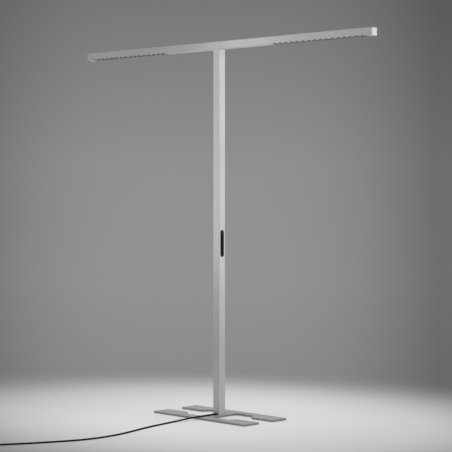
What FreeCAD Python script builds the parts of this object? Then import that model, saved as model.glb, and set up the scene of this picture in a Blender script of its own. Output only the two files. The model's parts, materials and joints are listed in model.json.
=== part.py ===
"""Office floor lamp with a T-shaped head.

Millimetres, +Z up.  The origin lies on the floor under the middle of the mast,
the head and the feet run along X, and the control strip faces +X.
"""
import FreeCAD
import Part
import math
import os

V = FreeCAD.Vector
X_AXIS, Y_AXIS, Z_AXIS = V(1, 0, 0), V(0, 1, 0), V(0, 0, 1)

# ---- driving sizes ------------------------------------------------------
lamp_height = 1950.0

# base: flat steel plate cut to an H, on four glides
base_length = 670.0
base_depth = 310.0
plate_thickness = 8.0
pad_length = 150.0
pad_width = 106.0
leg_width = 60.0
pad_slope = 28.0            # how far along X a pad narrows to its leg
crossbar_width = 70.0
plate_corner = 4.0
plate_inner_corner = 8.0
plate_edge_break = 0.8
glide_diameter = 24.0
glide_thickness = 2.0
glide_from_end = 40.0
glide_from_side = 50.0

# mast: square aluminium tube
mast_width = 44.0
mast_wall = 2.0
mast_corner = 1.6
foot_height = 60.0
foot_slot_width = 14.0
foot_slot_depth = 22.0
head_block_height = 50.0
wire_bore = 14.0

# head: one aluminium section, cut to two arms and a short collar
head_length = 2085.0
head_width = 38.0
head_height = 39.0
profile_wall = 2.0
profile_floor = 1.8
profile_corner = 0.8        # broken corners of the section
web_height = 21.0           # underside of the web above the underside of the head
web_thickness = 1.8
lip_reach = 2.0
lip_thickness = 1.5
diffuser_thickness = 2.0
collar_length = 22.0
end_cap_thickness = 2.5
end_cap_peg = 12.0
end_cap_corner = 0.6

# light openings: a row of cells with a scalloped edge below each arm
light_from_end = 37.8       # plain stretch between the last cell and the end of the head
cell_count = 16
cell_pitch = 38.25
scallop_width = 28.5
scallop_depth = 5.5
louvre_rise = 0.8           # the louvre stands this far above the scallops' tips
cell_blade = 3.0
cell_waist_share = 0.8      # mouth to waist of a reflector cup
cell_throat = 12.0
cell_corner = 3.0
led_board_width = 20.0
led_board_thickness = 1.6
led_side = 5.0
led_thickness = 0.8
top_led_count = 12

# joiner inside the head
joiner_length = 320.0
joiner_floor = 6.0
joiner_wall = 3.0
bolt_spacing = 26.0
bolt_reach = 25.0
joiner_screw_spacing = 50.0
joiner_screw_first = 45.0

# screws: (shank diameter, head diameter, head height)
plate_screw = (6.0, 10.0, 4.0)
plate_screw_reach = 20.0
plate_screw_spacing = 26.0
head_bolt = (6.0, 10.0, 4.0)
wall_screw = (4.0, 8.0, 2.2)
wall_screw_reach = 12.0
wall_screw_spacing = 20.0

# control strip on the +X face of the mast
control_centre = 900.7
control_width = 24.5
control_length = 140.0
cover_proud = 0.6
tray_flange = 4.0
tray_flange_thickness = 2.0
tray_depth = 10.0
tray_wall = 2.0
tray_ledge = 1.0
board_thickness = 1.6
switch_side = 6.0
switch_height = 3.0
key_travel = 0.6
key_proud = 0.3
key_flange = 1.3
key_flange_thickness = 1.1
key_stem_diameter = 5.0
key_diameter = 15.0
long_key_width = 12.0
long_key_length = 26.0
power_key_drop = 43.0       # below the middle of the strip
dimmer_key_drop = 11.0
brighter_key_rise = 21.0
sensor_rise = 50.0
sensor_side = 8.0
lens_diameter = 7.0
lens_crown = 0.5

# electrics inside the mast
driver_size = (21.0, 30.0, 280.0)
driver_bottom = 1100.0
driver_pad_thickness = 1.0
terminal_size = (26.0, 14.0, 20.0)
supply_wire_diameter = 5.0
thin_wire_diameter = 3.0
wire_bend = 8.0

# mains lead
lead_diameter = 8.0
tube_sides = 8              # facets round a lead or wire
gland_height = 4.6          # axis above the top of the plate
gland_bore = 11.0
gland_flange = (14.0, 2.0)
gland_length = 24.0
gland_tip = 9.6
coil_centre = V(-148.0, -1394.0, 0)
coil_start_angle = -26.5    # degrees, where the lead runs onto the coil
coil_outer_radius = 57.0
coil_pitch = 8.8
coil_turns_per_layer = 2.375
coil_lift_turns = 0.5       # the last part turn rises to the plug
coil_exit_run = 34.0
tie_width = 10.0
tie_thickness = 1.0
tie_angle = 100.0
tie_corner = 4.0
plug_radius = 19.0
plug_neck = 20.0
plug_pin = (4.8, 19.0, 19.0)    # diameter, length, spacing

# clearances
floor_gap = 0.1             # lead and plug above the floor
seam_gap = 0.3
seat_gap = 0.1              # gland above the plate
slide_gap = 0.3             # pieces pushed into a section
screw_gap = 0.1             # radial, round a shank
key_gap = 0.3
switch_gap = 0.4            # left when a key is fully pressed
wire_end_gap = 0.3
coil_tie_gap = 0.5

# ---- places worked out from the sizes -----------------------------------
plate_top = glide_thickness + plate_thickness
mast_half = mast_width / 2
mast_inside = mast_half - mast_wall
head_underside = lamp_height - head_height
foot_side = 2 * (mast_inside - slide_gap)
head_half = head_width / 2
head_inside = head_half - profile_wall
web_bottom = head_underside + web_height
web_top = web_bottom + web_thickness
light_end = head_length / 2 - light_from_end
light_start = light_end - cell_count * cell_pitch
arm_end = head_length / 2 - end_cap_thickness
left_arm_inner = mast_half
collar_start = left_arm_inner + seam_gap
right_arm_inner = collar_start + collar_length + seam_gap
led_board_bottom = web_bottom - led_board_thickness
diffuser_bottom = lamp_height - diffuser_thickness
gland_axis = plate_top + gland_height
lead_radius = lead_diameter / 2
lead_on_floor = lead_radius + floor_gap
lead_exit = -mast_half - gland_length
plug_axis = plug_radius + floor_gap
coil_bottom_layer = lead_on_floor + tie_thickness + coil_tie_gap - floor_gap
coil_top_layer = coil_bottom_layer + coil_pitch

# points of the free lead, from the gland to the last bend before the coil
lead_route = [
    V(0, lead_exit, gland_axis),
    V(0, -86, gland_axis),
    V(0, -130, 22.5),
    V(3, -178, 22.5),
    V(-6, -236, 12),
    V(-14, -305, lead_on_floor),
    V(0, -390, lead_on_floor),
    V(16, -478, lead_on_floor),
    V(43, -588, lead_on_floor),
    V(82, -716, lead_on_floor),
    V(99, -810, lead_on_floor),
    V(104, -926, lead_on_floor),
    V(85, -1022, lead_on_floor),
    V(44, -1124, lead_on_floor),
    V(-4, -1232, lead_on_floor),
]
lead_final_run = 96.0


# ---- shapes --------------------------------------------------------------
def block(x0, x1, y0, y1, z0, z1):
    return Part.makeBox(x1 - x0, y1 - y0, z1 - z0, V(x0, y0, z0))


def rod(diameter, length, base, axis):
    return Part.makeCylinder(diameter / 2, length, base, axis)


def soft_wire(points, radii):
    """Straight runs joined by tangent arcs; radii holds one value per inner point."""
    edges = []
    here = points[0]
    for corner, before, after, radius in zip(points[1:-1], points, points[2:], radii):
        to_before = (before - corner).normalize()
        to_after = (after - corner).normalize()
        half_turn = (math.pi - to_before.getAngle(to_after)) / 2
        reach = radius * math.tan(half_turn)
        middle = (to_before + to_after).normalize()
        apex = corner + middle * (radius / math.cos(half_turn) - radius)
        start, end = corner + to_before * reach, corner + to_after * reach
        edges.append(Part.LineSegment(here, start).toShape())
        edges.append(Part.Arc(start, apex, end).toShape())
        here = end
    edges.append(Part.LineSegment(here, points[-1]).toShape())
    return Part.Wire(edges)


def rounded_outline(points, radii):
    """Closed outline with rounded corners; it starts halfway along its last side."""
    start = (points[-1] + points[0]) * 0.5
    return soft_wire([start] + points + [start], radii)


def prism(outline, travel):
    return Part.Face(outline).extrude(travel)


def rectangle_xy(width, depth, corner, z, centre=V(0, 0, 0)):
    half_x, half_y = width / 2, depth / 2
    corners = [V(-half_x, -half_y, z), V(half_x, -half_y, z), V(half_x, half_y, z), V(-half_x, half_y, z)]
    return rounded_outline([corner_point + centre for corner_point in corners], [corner] * 4)


def cut_corner_points(width, height, corner):
    """Corners of a rectangle round the origin whose four corners are cut off at 45 degrees."""
    half_x, half_y = width / 2, height / 2
    quarter = [(half_x, half_y - corner), (half_x - corner, half_y)]
    half = quarter + [(-x, y) for x, y in reversed(quarter)]
    return half + [(-x, -y) for x, y in half]


def flat_sided(rings):
    """Solid through a stack of rings of points, each side face flat."""
    faces = [Part.Face(Part.makePolygon(ring + ring[:1])) for ring in (rings[0], rings[-1])]
    for low, high in zip(rings, rings[1:]):
        for a, b, c, d in zip(low, low[1:] + low[:1], high[1:] + high[:1], high):
            faces.append(Part.Face(Part.makePolygon([a, b, c, d, a])))
    return Part.Solid(Part.Shell(faces))


def stadium(width, length, x, z, depth):
    """Upright pill shape on the plane at x, with its middle at height z, depth thick towards +X."""
    half, straight = width / 2, (length - width) / 2
    left_low, left_high = V(x, -half, z - straight), V(x, -half, z + straight)
    right_low, right_high = V(x, half, z - straight), V(x, half, z + straight)
    edges = [
        Part.LineSegment(left_low, left_high).toShape(),
        Part.Arc(left_high, V(x, 0, z + length / 2), right_high).toShape(),
        Part.LineSegment(right_high, right_low).toShape(),
        Part.Arc(right_low, V(x, 0, z - length / 2), left_low).toShape(),
    ]
    return prism(Part.Wire(edges), V(depth, 0, 0))


def cap_screw(screw, reach, seat, axis):
    """Flat-headed screw: its head stands on the seat against axis, its shank runs along axis."""
    shank, head, height = screw
    top = seat - axis * height
    return rod(head, height, top, axis).fuse(rod(shank, reach, seat, axis)).removeSplitter()


def revolved(profile, origin, direction):
    """Solid of revolution; profile lists (distance along the axis, radius)."""
    points = [V(along, radius, 0) for along, radius in profile]
    points = [V(profile[0][0], 0, 0)] + points + [V(profile[-1][0], 0, 0)]
    face = Part.Face(Part.makePolygon(points + points[:1]))
    solid = face.revolve(V(0, 0, 0), X_AXIS, 360)
    turn = FreeCAD.Rotation(X_AXIS, direction)
    solid.Placement = FreeCAD.Placement(origin, turn)
    return solid


def tube(path, diameter, sides=tube_sides):
    """Faceted pipe along the path, its corners on the diameter and a flat turned down."""
    first = path.Edges[0]
    start = first.valueAt(first.FirstParameter)
    along = first.tangentAt(first.FirstParameter)
    across = along.cross(Z_AXIS if abs(along.z) < 0.9 else Y_AXIS).normalize()
    up = across.cross(along)
    angles = [2 * math.pi * (i + 0.5) / sides for i in range(sides)]
    ring = [start + (across * math.sin(a) + up * math.cos(a)) * (diameter / 2) for a in angles]
    return path.makePipeShell([Part.makePolygon(ring + ring[:1])], True, False)


def mirrored(shape):
    return shape.mirror(V(0, 0, 0), X_AXIS)


def group(shapes):
    return Part.makeCompound(shapes)


def cut_all(shape, tools):
    return shape.cut(tools) if tools else shape


# ---- base ----------------------------------------------------------------
def quadrant_points():
    """Corners of the H in the quarter where x and y are positive, with their radii."""
    end, side = base_length / 2, base_depth / 2
    bar = crossbar_width / 2
    pad_inner, leg_inner = side - pad_width, side - leg_width
    pad_start = end - pad_length
    return [
        (bar, leg_inner, plate_inner_corner),
        (pad_start - pad_slope, leg_inner, plate_inner_corner),
        (pad_start, pad_inner, plate_inner_corner),
        (end, pad_inner, plate_corner),
        (end, side, plate_corner),
    ]


def plate_outline():
    quarter = quadrant_points()
    corners = list(quarter)
    corners += [(-x, y, r) for x, y, r in reversed(quarter)]
    corners += [(-x, -y, r) for x, y, r in quarter]
    corners += [(x, -y, r) for x, y, r in reversed(quarter)]
    points = [V(x, y, glide_thickness) for x, y, r in corners]
    return rounded_outline(points, [r for x, y, r in corners])


def plate_screw_places():
    offset = plate_screw_spacing / 2
    return [V(x, y, 0) for x in (-offset, offset) for y in (-offset, offset)]


def plate_screw_seat():
    return glide_thickness + plate_screw[2] + screw_gap


def make_base_plate():
    plate = prism(plate_outline(), V(0, 0, plate_thickness))
    rim = [edge for edge in plate.Edges if edge.BoundBox.ZMin > plate_top - 1e-6]
    plate = plate.makeChamfer(plate_edge_break, rim)
    holes = []
    for place in plate_screw_places():
        head = rod(plate_screw[1] + 4 * screw_gap, plate_screw_seat(), place, Z_AXIS)
        shank = rod(plate_screw[0] + 4 * screw_gap, 2 * plate_top, place, Z_AXIS)
        holes += [head, shank]
    return cut_all(plate, holes)


def make_base_glides():
    x = base_length / 2 - glide_from_end
    y = base_depth / 2 - glide_from_side
    return group([rod(glide_diameter, glide_thickness, V(i * x, j * y, 0), Z_AXIS)
                  for i in (-1, 1) for j in (-1, 1)])


def make_base_screws():
    return group([cap_screw(plate_screw, plate_screw_reach, place + V(0, 0, plate_screw_seat()), Z_AXIS)
                  for place in plate_screw_places()])


# ---- mast ----------------------------------------------------------------
def wall_screw_places():
    """Screws through the rear wall of the mast, into the foot and the head block."""
    offset = wall_screw_spacing / 2
    heights = (plate_top + foot_height - wall_screw_spacing,
               head_underside - head_block_height / 2)
    return [V(x, mast_half, z) for z in heights for x in (-offset, offset)]


def wall_screw_holes(places, diameter):
    return [rod(diameter, wall_screw_reach + mast_wall + 1, place + V(0, 1, 0), -Y_AXIS) for place in places]


def make_mast_tube():
    height = head_underside - plate_top
    outer = rectangle_xy(mast_width, mast_width, mast_corner, plate_top)
    shell = prism(outer, V(0, 0, height))
    hollow = block(-mast_inside, mast_inside, -mast_inside, mast_inside, plate_top - 1, head_underside + 1)
    window = stadium(control_width + 2 * key_gap, control_length + 2 * key_gap, 0, control_centre, mast_width)
    lead_hole = rod(gland_bore, mast_half, V(0, 0, gland_axis), -Y_AXIS)
    holes = wall_screw_holes(wall_screw_places(), wall_screw[0] + 4 * screw_gap)
    return cut_all(shell, [hollow, window, lead_hole] + holes)


def make_mast_foot():
    top = plate_top + foot_height
    shape = prism(rectangle_xy(foot_side, foot_side, mast_corner, plate_top), V(0, 0, foot_height))
    half_slot = foot_slot_width / 2
    slot = block(-half_slot, half_slot, -mast_half, -mast_half + foot_slot_depth, plate_top - 1, top + 1)
    reach = plate_screw_seat() + plate_screw_reach + 1 - plate_top
    bores = [rod(plate_screw[0] + 2 * screw_gap, reach, place + V(0, 0, plate_top), Z_AXIS)
             for place in plate_screw_places()]
    side = wall_screw_holes(wall_screw_places(), wall_screw[0] + 2 * screw_gap)
    return cut_all(shape, [slot] + bores + side)


def make_mast_screws():
    return group([cap_screw(wall_screw, wall_screw_reach + mast_wall, place, -Y_AXIS)
                  for place in wall_screw_places()])


def bolt_places():
    return [V(x, 0, 0) for x in (-bolt_spacing / 2, bolt_spacing / 2)]


def make_head_block():
    bottom = head_underside - head_block_height
    shape = prism(rectangle_xy(foot_side, foot_side, mast_corner, bottom), V(0, 0, head_block_height))
    tools = [rod(wire_bore, head_block_height + 2, V(0, 0, bottom - 1), Z_AXIS)]
    for place in bolt_places():
        base = place + V(0, 0, head_underside - bolt_reach)
        tools.append(rod(head_bolt[0] + 2 * screw_gap, bolt_reach + 1, base, Z_AXIS))
    tools += wall_screw_holes(wall_screw_places(), wall_screw[0] + 2 * screw_gap)
    return cut_all(shape, tools)


# ---- head ----------------------------------------------------------------
def section_outline(x):
    """Outer outline of the head's section on the plane at x."""
    middle = (head_underside + lamp_height) / 2
    points = [V(x, y, middle + z) for y, z in cut_corner_points(head_width, head_height, profile_corner)]
    return Part.makePolygon(points + points[:1])


def lower_chamber(x0, x1):
    return block(x0, x1, -head_inside, head_inside, head_underside + profile_floor, web_bottom)


def upper_chamber(x0, x1):
    """Space above the web, narrowed by the lips that carry the diffuser."""
    lip_inner = head_inside - lip_reach
    wide = block(x0, x1, -head_inside, head_inside, web_top, diffuser_bottom - lip_thickness)
    neck = block(x0, x1, -lip_inner, lip_inner, web_top, lamp_height + 1)
    recess = block(x0, x1, -head_inside, head_inside, diffuser_bottom, lamp_height + 1)
    return [wide, neck, recess]


def arm_blank(x0, x1):
    bar = prism(section_outline(x0), V(x1 - x0, 0, 0))
    return cut_all(bar, [lower_chamber(x0 - 1, x1 + 1)] + upper_chamber(x0 - 1, x1 + 1))


def scallop(x):
    """Cutter for one scallop: an arc through both side walls."""
    half, below = scallop_width / 2, 1.0
    left, right = V(x - half, -head_width, head_underside), V(x + half, -head_width, head_underside)
    edges = [
        Part.Arc(left, V(x, -head_width, head_underside + scallop_depth), right).toShape(),
        Part.LineSegment(right, right - V(0, 0, below)).toShape(),
        Part.LineSegment(right - V(0, 0, below), left - V(0, 0, below)).toShape(),
        Part.LineSegment(left - V(0, 0, below), left).toShape(),
    ]
    return prism(Part.Wire(edges), V(0, 2 * head_width, 0))


def cell_centres():
    return [light_start + (i + 0.5) * cell_pitch for i in range(cell_count)]


def light_opening():
    """Cutters for the opening under an arm on the +X side and for its scalloped edges."""
    slot = block(light_start, light_end, -head_inside, head_inside,
                 head_underside - 1, head_underside + profile_floor + 1)
    return [slot] + [scallop(x) for x in cell_centres()]


def joiner_screw_places(side):
    """Screws through the rear wall into the joiner; side is -1 for the left arm and 1 for the right."""
    seam = left_arm_inner if side < 0 else right_arm_inner
    first = seam + side * joiner_screw_first
    height = head_underside + profile_floor + web_height / 2
    return [V(first + side * i * joiner_screw_spacing, head_half, height) for i in range(2)]


def joiner_screw_holes(side, diameter):
    reach = profile_wall + joiner_wall + slide_gap
    return [rod(diameter, reach + 2, place + V(0, 1, 0), -Y_AXIS) for place in joiner_screw_places(side)]


def mast_openings():
    """Holes in the floor of the left arm, over the mast: two bolts and the wires."""
    bottom = head_underside - 1
    tools = [rod(wire_bore, profile_floor + 2, V(0, 0, bottom), Z_AXIS)]
    tools += [rod(head_bolt[0] + 4 * screw_gap, profile_floor + 2, place + V(0, 0, bottom), Z_AXIS)
              for place in bolt_places()]
    return tools


def make_left_profile():
    arm = arm_blank(-arm_end, left_arm_inner)
    cutters = [mirrored(tool) for tool in light_opening()]
    cutters += mast_openings() + joiner_screw_holes(-1, wall_screw[0] + 4 * screw_gap)
    return cut_all(arm, cutters)


def make_right_profile():
    arm = arm_blank(right_arm_inner, arm_end)
    return cut_all(arm, light_opening() + joiner_screw_holes(1, wall_screw[0] + 4 * screw_gap))


def make_joint_collar():
    x0, x1 = collar_start, collar_start + collar_length
    ring = prism(section_outline(x0), V(collar_length, 0, 0))
    upper = block(x0 - 1, x1 + 1, -head_inside, head_inside, web_top, diffuser_bottom)
    return cut_all(ring, [lower_chamber(x0 - 1, x1 + 1), upper])


def joiner_range():
    middle = (left_arm_inner + right_arm_inner) / 2
    return middle - joiner_length / 2, middle + joiner_length / 2


def make_arm_joiner():
    x0, x1 = joiner_range()
    bottom = head_underside + profile_floor
    top = web_bottom - slide_gap
    half = head_inside - slide_gap
    bar = block(x0, x1, -half, half, bottom, top)
    trough = block(x0 - 1, x1 + 1, joiner_wall - half, half - joiner_wall, bottom + joiner_floor, top + 1)
    tools = [trough, rod(wire_bore, joiner_floor + 2, V(0, 0, bottom - 1), Z_AXIS)]
    tools += [rod(head_bolt[0] + 4 * screw_gap, joiner_floor + 2, place + V(0, 0, bottom - 1), Z_AXIS)
              for place in bolt_places()]
    for side in (-1, 1):
        tools += joiner_screw_holes(side, wall_screw[0] + 2 * screw_gap)
    return cut_all(bar, tools)


def make_joiner_screws():
    reach = profile_wall + slide_gap + joiner_wall
    places = joiner_screw_places(-1) + joiner_screw_places(1)
    return group([cap_screw(wall_screw, reach, place, -Y_AXIS) for place in places])


def make_head_bolts():
    seat = head_underside + profile_floor + joiner_floor
    reach = joiner_floor + profile_floor + bolt_reach - 1
    return group([cap_screw(head_bolt, reach, place + V(0, 0, seat), -Z_AXIS) for place in bolt_places()])


def make_right_end_cap():
    plate = prism(section_outline(arm_end), V(end_cap_thickness, 0, 0))
    outer = [edge for edge in plate.Edges if edge.BoundBox.XMin > arm_end + end_cap_thickness - 1e-6]
    plate = plate.makeChamfer(end_cap_corner, outer)
    half = head_inside - slide_gap
    start = arm_end - end_cap_peg
    lower = block(start, arm_end, -half, half,
                  head_underside + profile_floor + slide_gap, web_bottom - slide_gap)
    upper = block(start, arm_end, -half, half,
                  web_top + slide_gap, diffuser_bottom - lip_thickness - slide_gap)
    return plate.fuse([lower, upper])


def make_louvre():
    """Row of reflector cups on the +X side, each narrowing upwards to its light."""
    bottom, top = head_underside + louvre_rise, led_board_bottom
    half = head_inside - slide_gap
    bar = block(light_start + slide_gap, light_end - slide_gap, -half, half, bottom, top)
    mouth_x, mouth_y = cell_pitch - cell_blade, 2 * half - cell_blade
    waist_z = (bottom + top) / 2
    waist_x, waist_y = mouth_x * cell_waist_share, mouth_y * cell_waist_share
    levels = [(mouth_x, mouth_y, bottom - 0.01), (waist_x, waist_y, waist_z), (cell_throat, cell_throat, top + 0.01)]
    cups = []
    for centre in cell_centres():
        rings = [[V(centre + x, y, z) for x, y in cut_corner_points(width, depth, cell_corner)]
                 for width, depth, z in levels]
        cups.append(flat_sided(rings))
    return cut_all(bar, cups)


def strip(bottom, thickness):
    """Circuit board the length of the light opening, on the +X side."""
    half = led_board_width / 2
    return block(light_start + slide_gap, light_end - slide_gap, -half, half, bottom, bottom + thickness)


def leds(places, bottom):
    half = led_side / 2
    return group([block(x - half, x + half, -half, half, bottom, bottom + led_thickness) for x in places])


def top_led_places():
    pitch = (light_end - light_start) / top_led_count
    return [light_start + (i + 0.5) * pitch for i in range(top_led_count)]


def diffuser(x0, x1):
    half = head_inside - slide_gap / 2
    return block(x0, x1, -half, half, diffuser_bottom, lamp_height)


# ---- control strip -------------------------------------------------------
def key_heights():
    return {
        "power_key": control_centre - power_key_drop,
        "dimmer_key": control_centre - dimmer_key_drop,
        "brighter_key": control_centre + brighter_key_rise,
    }


def key_size(name):
    round_key = (key_diameter, key_diameter + 0.001)
    return round_key if name == "power_key" else (long_key_width, long_key_length)


def board_front():
    return mast_inside - tray_flange_thickness - tray_depth + 2 * board_thickness


def make_control_cover():
    depth = mast_wall + cover_proud
    plate = stadium(control_width, control_length, mast_inside, control_centre, depth)
    tools = [stadium(key_size(name)[0] + 2 * key_gap, key_size(name)[1] + 2 * key_gap, mast_inside - 1, z, depth + 2)
             for name, z in key_heights().items()]
    tools.append(rod(lens_diameter + key_gap, depth + 2, V(mast_inside - 1, 0, control_centre + sensor_rise), X_AXIS))
    return cut_all(plate, tools)


def make_control_tray():
    """Frame behind the cover: a flange against the inside of the mast and a rim that holds the board."""
    back = mast_inside - tray_flange_thickness - tray_depth
    rim_width, rim_length = control_width + 2 * tray_wall, control_length + 2 * tray_wall
    flange = stadium(rim_width + tray_flange, rim_length + tray_flange,
                     mast_inside - tray_flange_thickness, control_centre, tray_flange_thickness)
    rim = stadium(rim_width, rim_length, back, control_centre, tray_depth)
    seat = stadium(control_width, control_length, back - 1, control_centre, board_front() - back + 1)
    throat = stadium(control_width - 2 * tray_ledge - tray_wall, control_length - 2 * tray_ledge - tray_wall,
                     back - 1, control_centre, tray_depth + tray_flange_thickness + 2)
    return flange.fuse(rim).cut([seat, throat]).removeSplitter()


def make_control_board():
    return stadium(control_width - 2 * key_gap, control_length - 2 * key_gap,
                   board_front() - board_thickness, control_centre, board_thickness)


def make_key_switches():
    half = switch_side / 2
    front = board_front()
    return group([block(front, front + switch_height, -half, half, z - half, z + half)
                  for z in key_heights().values()])


def make_key(name):
    width, length = key_size(name)
    z = key_heights()[name]
    front = mast_half + cover_proud + key_proud
    flange_front = mast_inside - key_gap
    flange_back = flange_front - key_flange_thickness
    stem_end = board_front() + switch_height + key_travel + switch_gap
    cap = stadium(width, length, flange_front, z, front - flange_front)
    flange = stadium(width + 2 * key_flange, length + 2 * key_flange, flange_back, z, key_flange_thickness)
    stem = rod(key_stem_diameter, flange_back - stem_end, V(stem_end, 0, z), X_AXIS)
    return cap.fuse([flange, stem]).removeSplitter()


def make_presence_sensor():
    half, z = sensor_side / 2, control_centre + sensor_rise
    return block(board_front(), mast_inside, -half, half, z - half, z + half)


def make_sensor_lens():
    depth = mast_wall + cover_proud
    radius = lens_diameter / 2
    ball_radius = (radius * radius + lens_crown * lens_crown) / (2 * lens_crown)
    profile_rod = rod(lens_diameter, depth + lens_crown, V(mast_inside, 0, control_centre + sensor_rise), X_AXIS)
    ball_centre = V(mast_inside + depth + lens_crown - ball_radius, 0, control_centre + sensor_rise)
    return profile_rod.common(Part.makeSphere(ball_radius, ball_centre))


# ---- electrics -----------------------------------------------------------
def make_driver_pad():
    half = driver_size[1] / 2
    return block(-mast_inside, driver_pad_thickness - mast_inside, -half, half,
                 driver_bottom, driver_bottom + driver_size[2])


def make_led_driver():
    x0 = driver_pad_thickness - mast_inside
    half = driver_size[1] / 2
    return block(x0, x0 + driver_size[0], -half, half, driver_bottom, driver_bottom + driver_size[2])


def make_terminal_block():
    half, bottom = terminal_size[0] / 2, plate_top + foot_height
    back = foot_side / 2
    return block(-half, half, back - terminal_size[1], back, bottom, bottom + terminal_size[2])


def make_inner_wires():
    """From the gland's inner end up the slot in the foot to the terminal block."""
    middle = (foot_slot_depth / 2) - mast_half
    terminal_front = foot_side / 2 - terminal_size[1]
    height = plate_top + foot_height + terminal_size[2] / 2
    points = [V(0, -mast_inside + mast_wall, gland_axis), V(0, middle, gland_axis),
              V(0, middle, height), V(0, terminal_front, height)]
    bend = supply_wire_diameter
    return tube(soft_wire(points, [bend, bend]), supply_wire_diameter)


def make_supply_wires():
    """From the terminal block straight up to the driver."""
    x = driver_pad_thickness - mast_inside + driver_size[0] / 2
    y = foot_side / 2 - terminal_size[1] / 2
    bottom = plate_top + foot_height + terminal_size[2]
    return rod(supply_wire_diameter, driver_bottom - bottom, V(x, y, bottom), Z_AXIS)


def make_control_wire():
    x = driver_pad_thickness - mast_inside + driver_size[0] - thin_wire_diameter
    y = -driver_size[1] / 4
    start = V(board_front() - board_thickness, y, control_centre + sensor_rise)
    points = [start, V(x, y, start.z), V(x, y, driver_bottom)]
    return tube(soft_wire(points, [thin_wire_diameter * 2]), thin_wire_diameter)


def head_wire(side):
    x = driver_pad_thickness - mast_inside + driver_size[0] / 2 + side * thin_wire_diameter
    bottom = driver_bottom + driver_size[2]
    height = web_bottom - wire_end_gap - thin_wire_diameter / 2
    rise = side * thin_wire_diameter
    knee = head_underside - head_block_height
    end = side * (light_start + slide_gap - wire_end_gap)
    points = [V(x, 0, bottom), V(x, 0, knee - 3 * mast_width), V(rise, 0, knee - mast_width), V(rise, 0, height),
              V(end, 0, height)]
    return tube(soft_wire(points, [mast_width, mast_width, wire_bend]), thin_wire_diameter)


# ---- mains lead ----------------------------------------------------------
def make_lead_gland():
    flange_diameter, flange_thickness = gland_flange
    inside = mast_wall
    neck = gland_bore / 2 - screw_gap
    profile = [(-inside, neck), (0, neck), (0, flange_diameter / 2), (flange_thickness, flange_diameter / 2),
               (flange_thickness, neck), (gland_length, gland_tip / 2)]
    gland = revolved(profile, V(0, -mast_half, gland_axis), -Y_AXIS)
    below = block(-mast_half, mast_half, -2 * mast_half - gland_length, mast_half, 0, plate_top + seat_gap)
    return gland.cut(below)


def smooth_step(share):
    return share * share * (3 - 2 * share)


def coil_point(turn):
    """Centre line of the coil: in along the floor, up a layer where it reverses, and out again."""
    inner = coil_outer_radius - coil_pitch * coil_turns_per_layer
    back = turn - coil_turns_per_layer - 0.5
    if turn < coil_turns_per_layer:
        radius, height = coil_outer_radius - coil_pitch * turn, coil_bottom_layer
    elif back < 0:
        part = turn - coil_turns_per_layer
        radius = inner - coil_pitch * part * (1 - 2 * part)
        height = coil_bottom_layer + (coil_top_layer - coil_bottom_layer) * smooth_step(2 * part)
    else:
        radius, height = inner + coil_pitch * back, coil_top_layer
    lift = max(0.0, (back - coil_turns_per_layer) / coil_lift_turns + 1)
    height += (plug_axis - coil_top_layer) * smooth_step(min(lift, 1.0)) if back > 0 else 0
    angle = math.radians(coil_start_angle) - 2 * math.pi * turn
    return coil_centre + V(radius * math.cos(angle), radius * math.sin(angle), height)


def coil_turns():
    return 2 * coil_turns_per_layer + 0.5


def coil_tangent(turn):
    step = 1e-4
    low, high = max(turn - step, 0.0), min(turn + step, coil_turns())
    return (coil_point(high) - coil_point(low)).normalize()


def biarc(start, start_way, end, end_way):
    """Two arcs that leave start along start_way and reach end along end_way."""
    across = end - start
    ways = start_way + end_way
    a = 2 * (1 - start_way.dot(end_way))
    b = 2 * across.dot(ways)
    c = -across.dot(across)
    reach = (-b + math.sqrt(b * b - 4 * a * c)) / (2 * a)
    first, last = start + start_way * reach, end - end_way * reach
    middle = (first + last) * 0.5
    return [arc_inside(start, first, middle), arc_inside(middle, last, end)]


def arc_inside(start, corner, end):
    """Arc from start to end that touches both legs of the corner."""
    half_angle = (start - corner).getAngle(end - corner) / 2
    leg = (start - corner).Length
    radius = leg * math.tan(half_angle)
    inward = ((start + end) * 0.5 - corner).normalize()
    apex = corner + inward * (radius / math.sin(half_angle) - radius)
    return Part.Arc(start, apex, end).toShape()


def coil_entry():
    return coil_point(0) - coil_tangent(0) * lead_diameter


def coil_path():
    count = round(coil_turns() * 4)
    turns = [coil_turns() * i / count for i in range(count + 1)]
    edges = [Part.LineSegment(coil_entry(), coil_point(0)).toShape()]
    for low, high in zip(turns, turns[1:]):
        edges += biarc(coil_point(low), coil_tangent(low), coil_point(high), coil_tangent(high))
    end = coil_point(coil_turns())
    edges.append(Part.LineSegment(end, plug_start()).toShape())
    return Part.Wire(edges)


def plug_way():
    way = coil_tangent(coil_turns())
    return V(way.x, way.y, 0).normalize()


def plug_start():
    return coil_point(coil_turns()) + plug_way() * coil_exit_run


def full_lead_route():
    last = coil_entry()
    return lead_route + [last - coil_tangent(0) * lead_final_run, last]


def lead_radii(points):
    """Each bend is as large as its two runs allow."""
    radii = []
    for before, corner, after in zip(points, points[1:], points[2:]):
        run = min((corner - before).Length, (after - corner).Length)
        turn = (corner - before).getAngle(after - corner)
        radii.append(0.45 * run / math.tan(turn / 2))
    return radii


def make_mains_lead():
    points = full_lead_route()
    radii = lead_radii(points)
    path = soft_wire(points, radii)
    solid = tube(path, lead_diameter)
    print("lead bend radii", [round(radius) for radius in radii])
    print("lead runs", [round((b - a).Length) for a, b in zip(points, points[1:])])
    report_tube("lead", path, solid)
    return solid


def make_lead_coil():
    path = coil_path()
    solid = tube(path, lead_diameter)
    report_tube("coil", path, solid)
    samples = [coil_point(coil_turns() * i / 1200) for i in range(1201)]
    apart = round(1200 / coil_turns() / 2)
    gap = min((a - b).Length for i, a in enumerate(samples) for b in samples[i + apart:]) - lead_diameter
    print("coil least gap to itself", round(gap, 2))
    return solid


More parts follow.
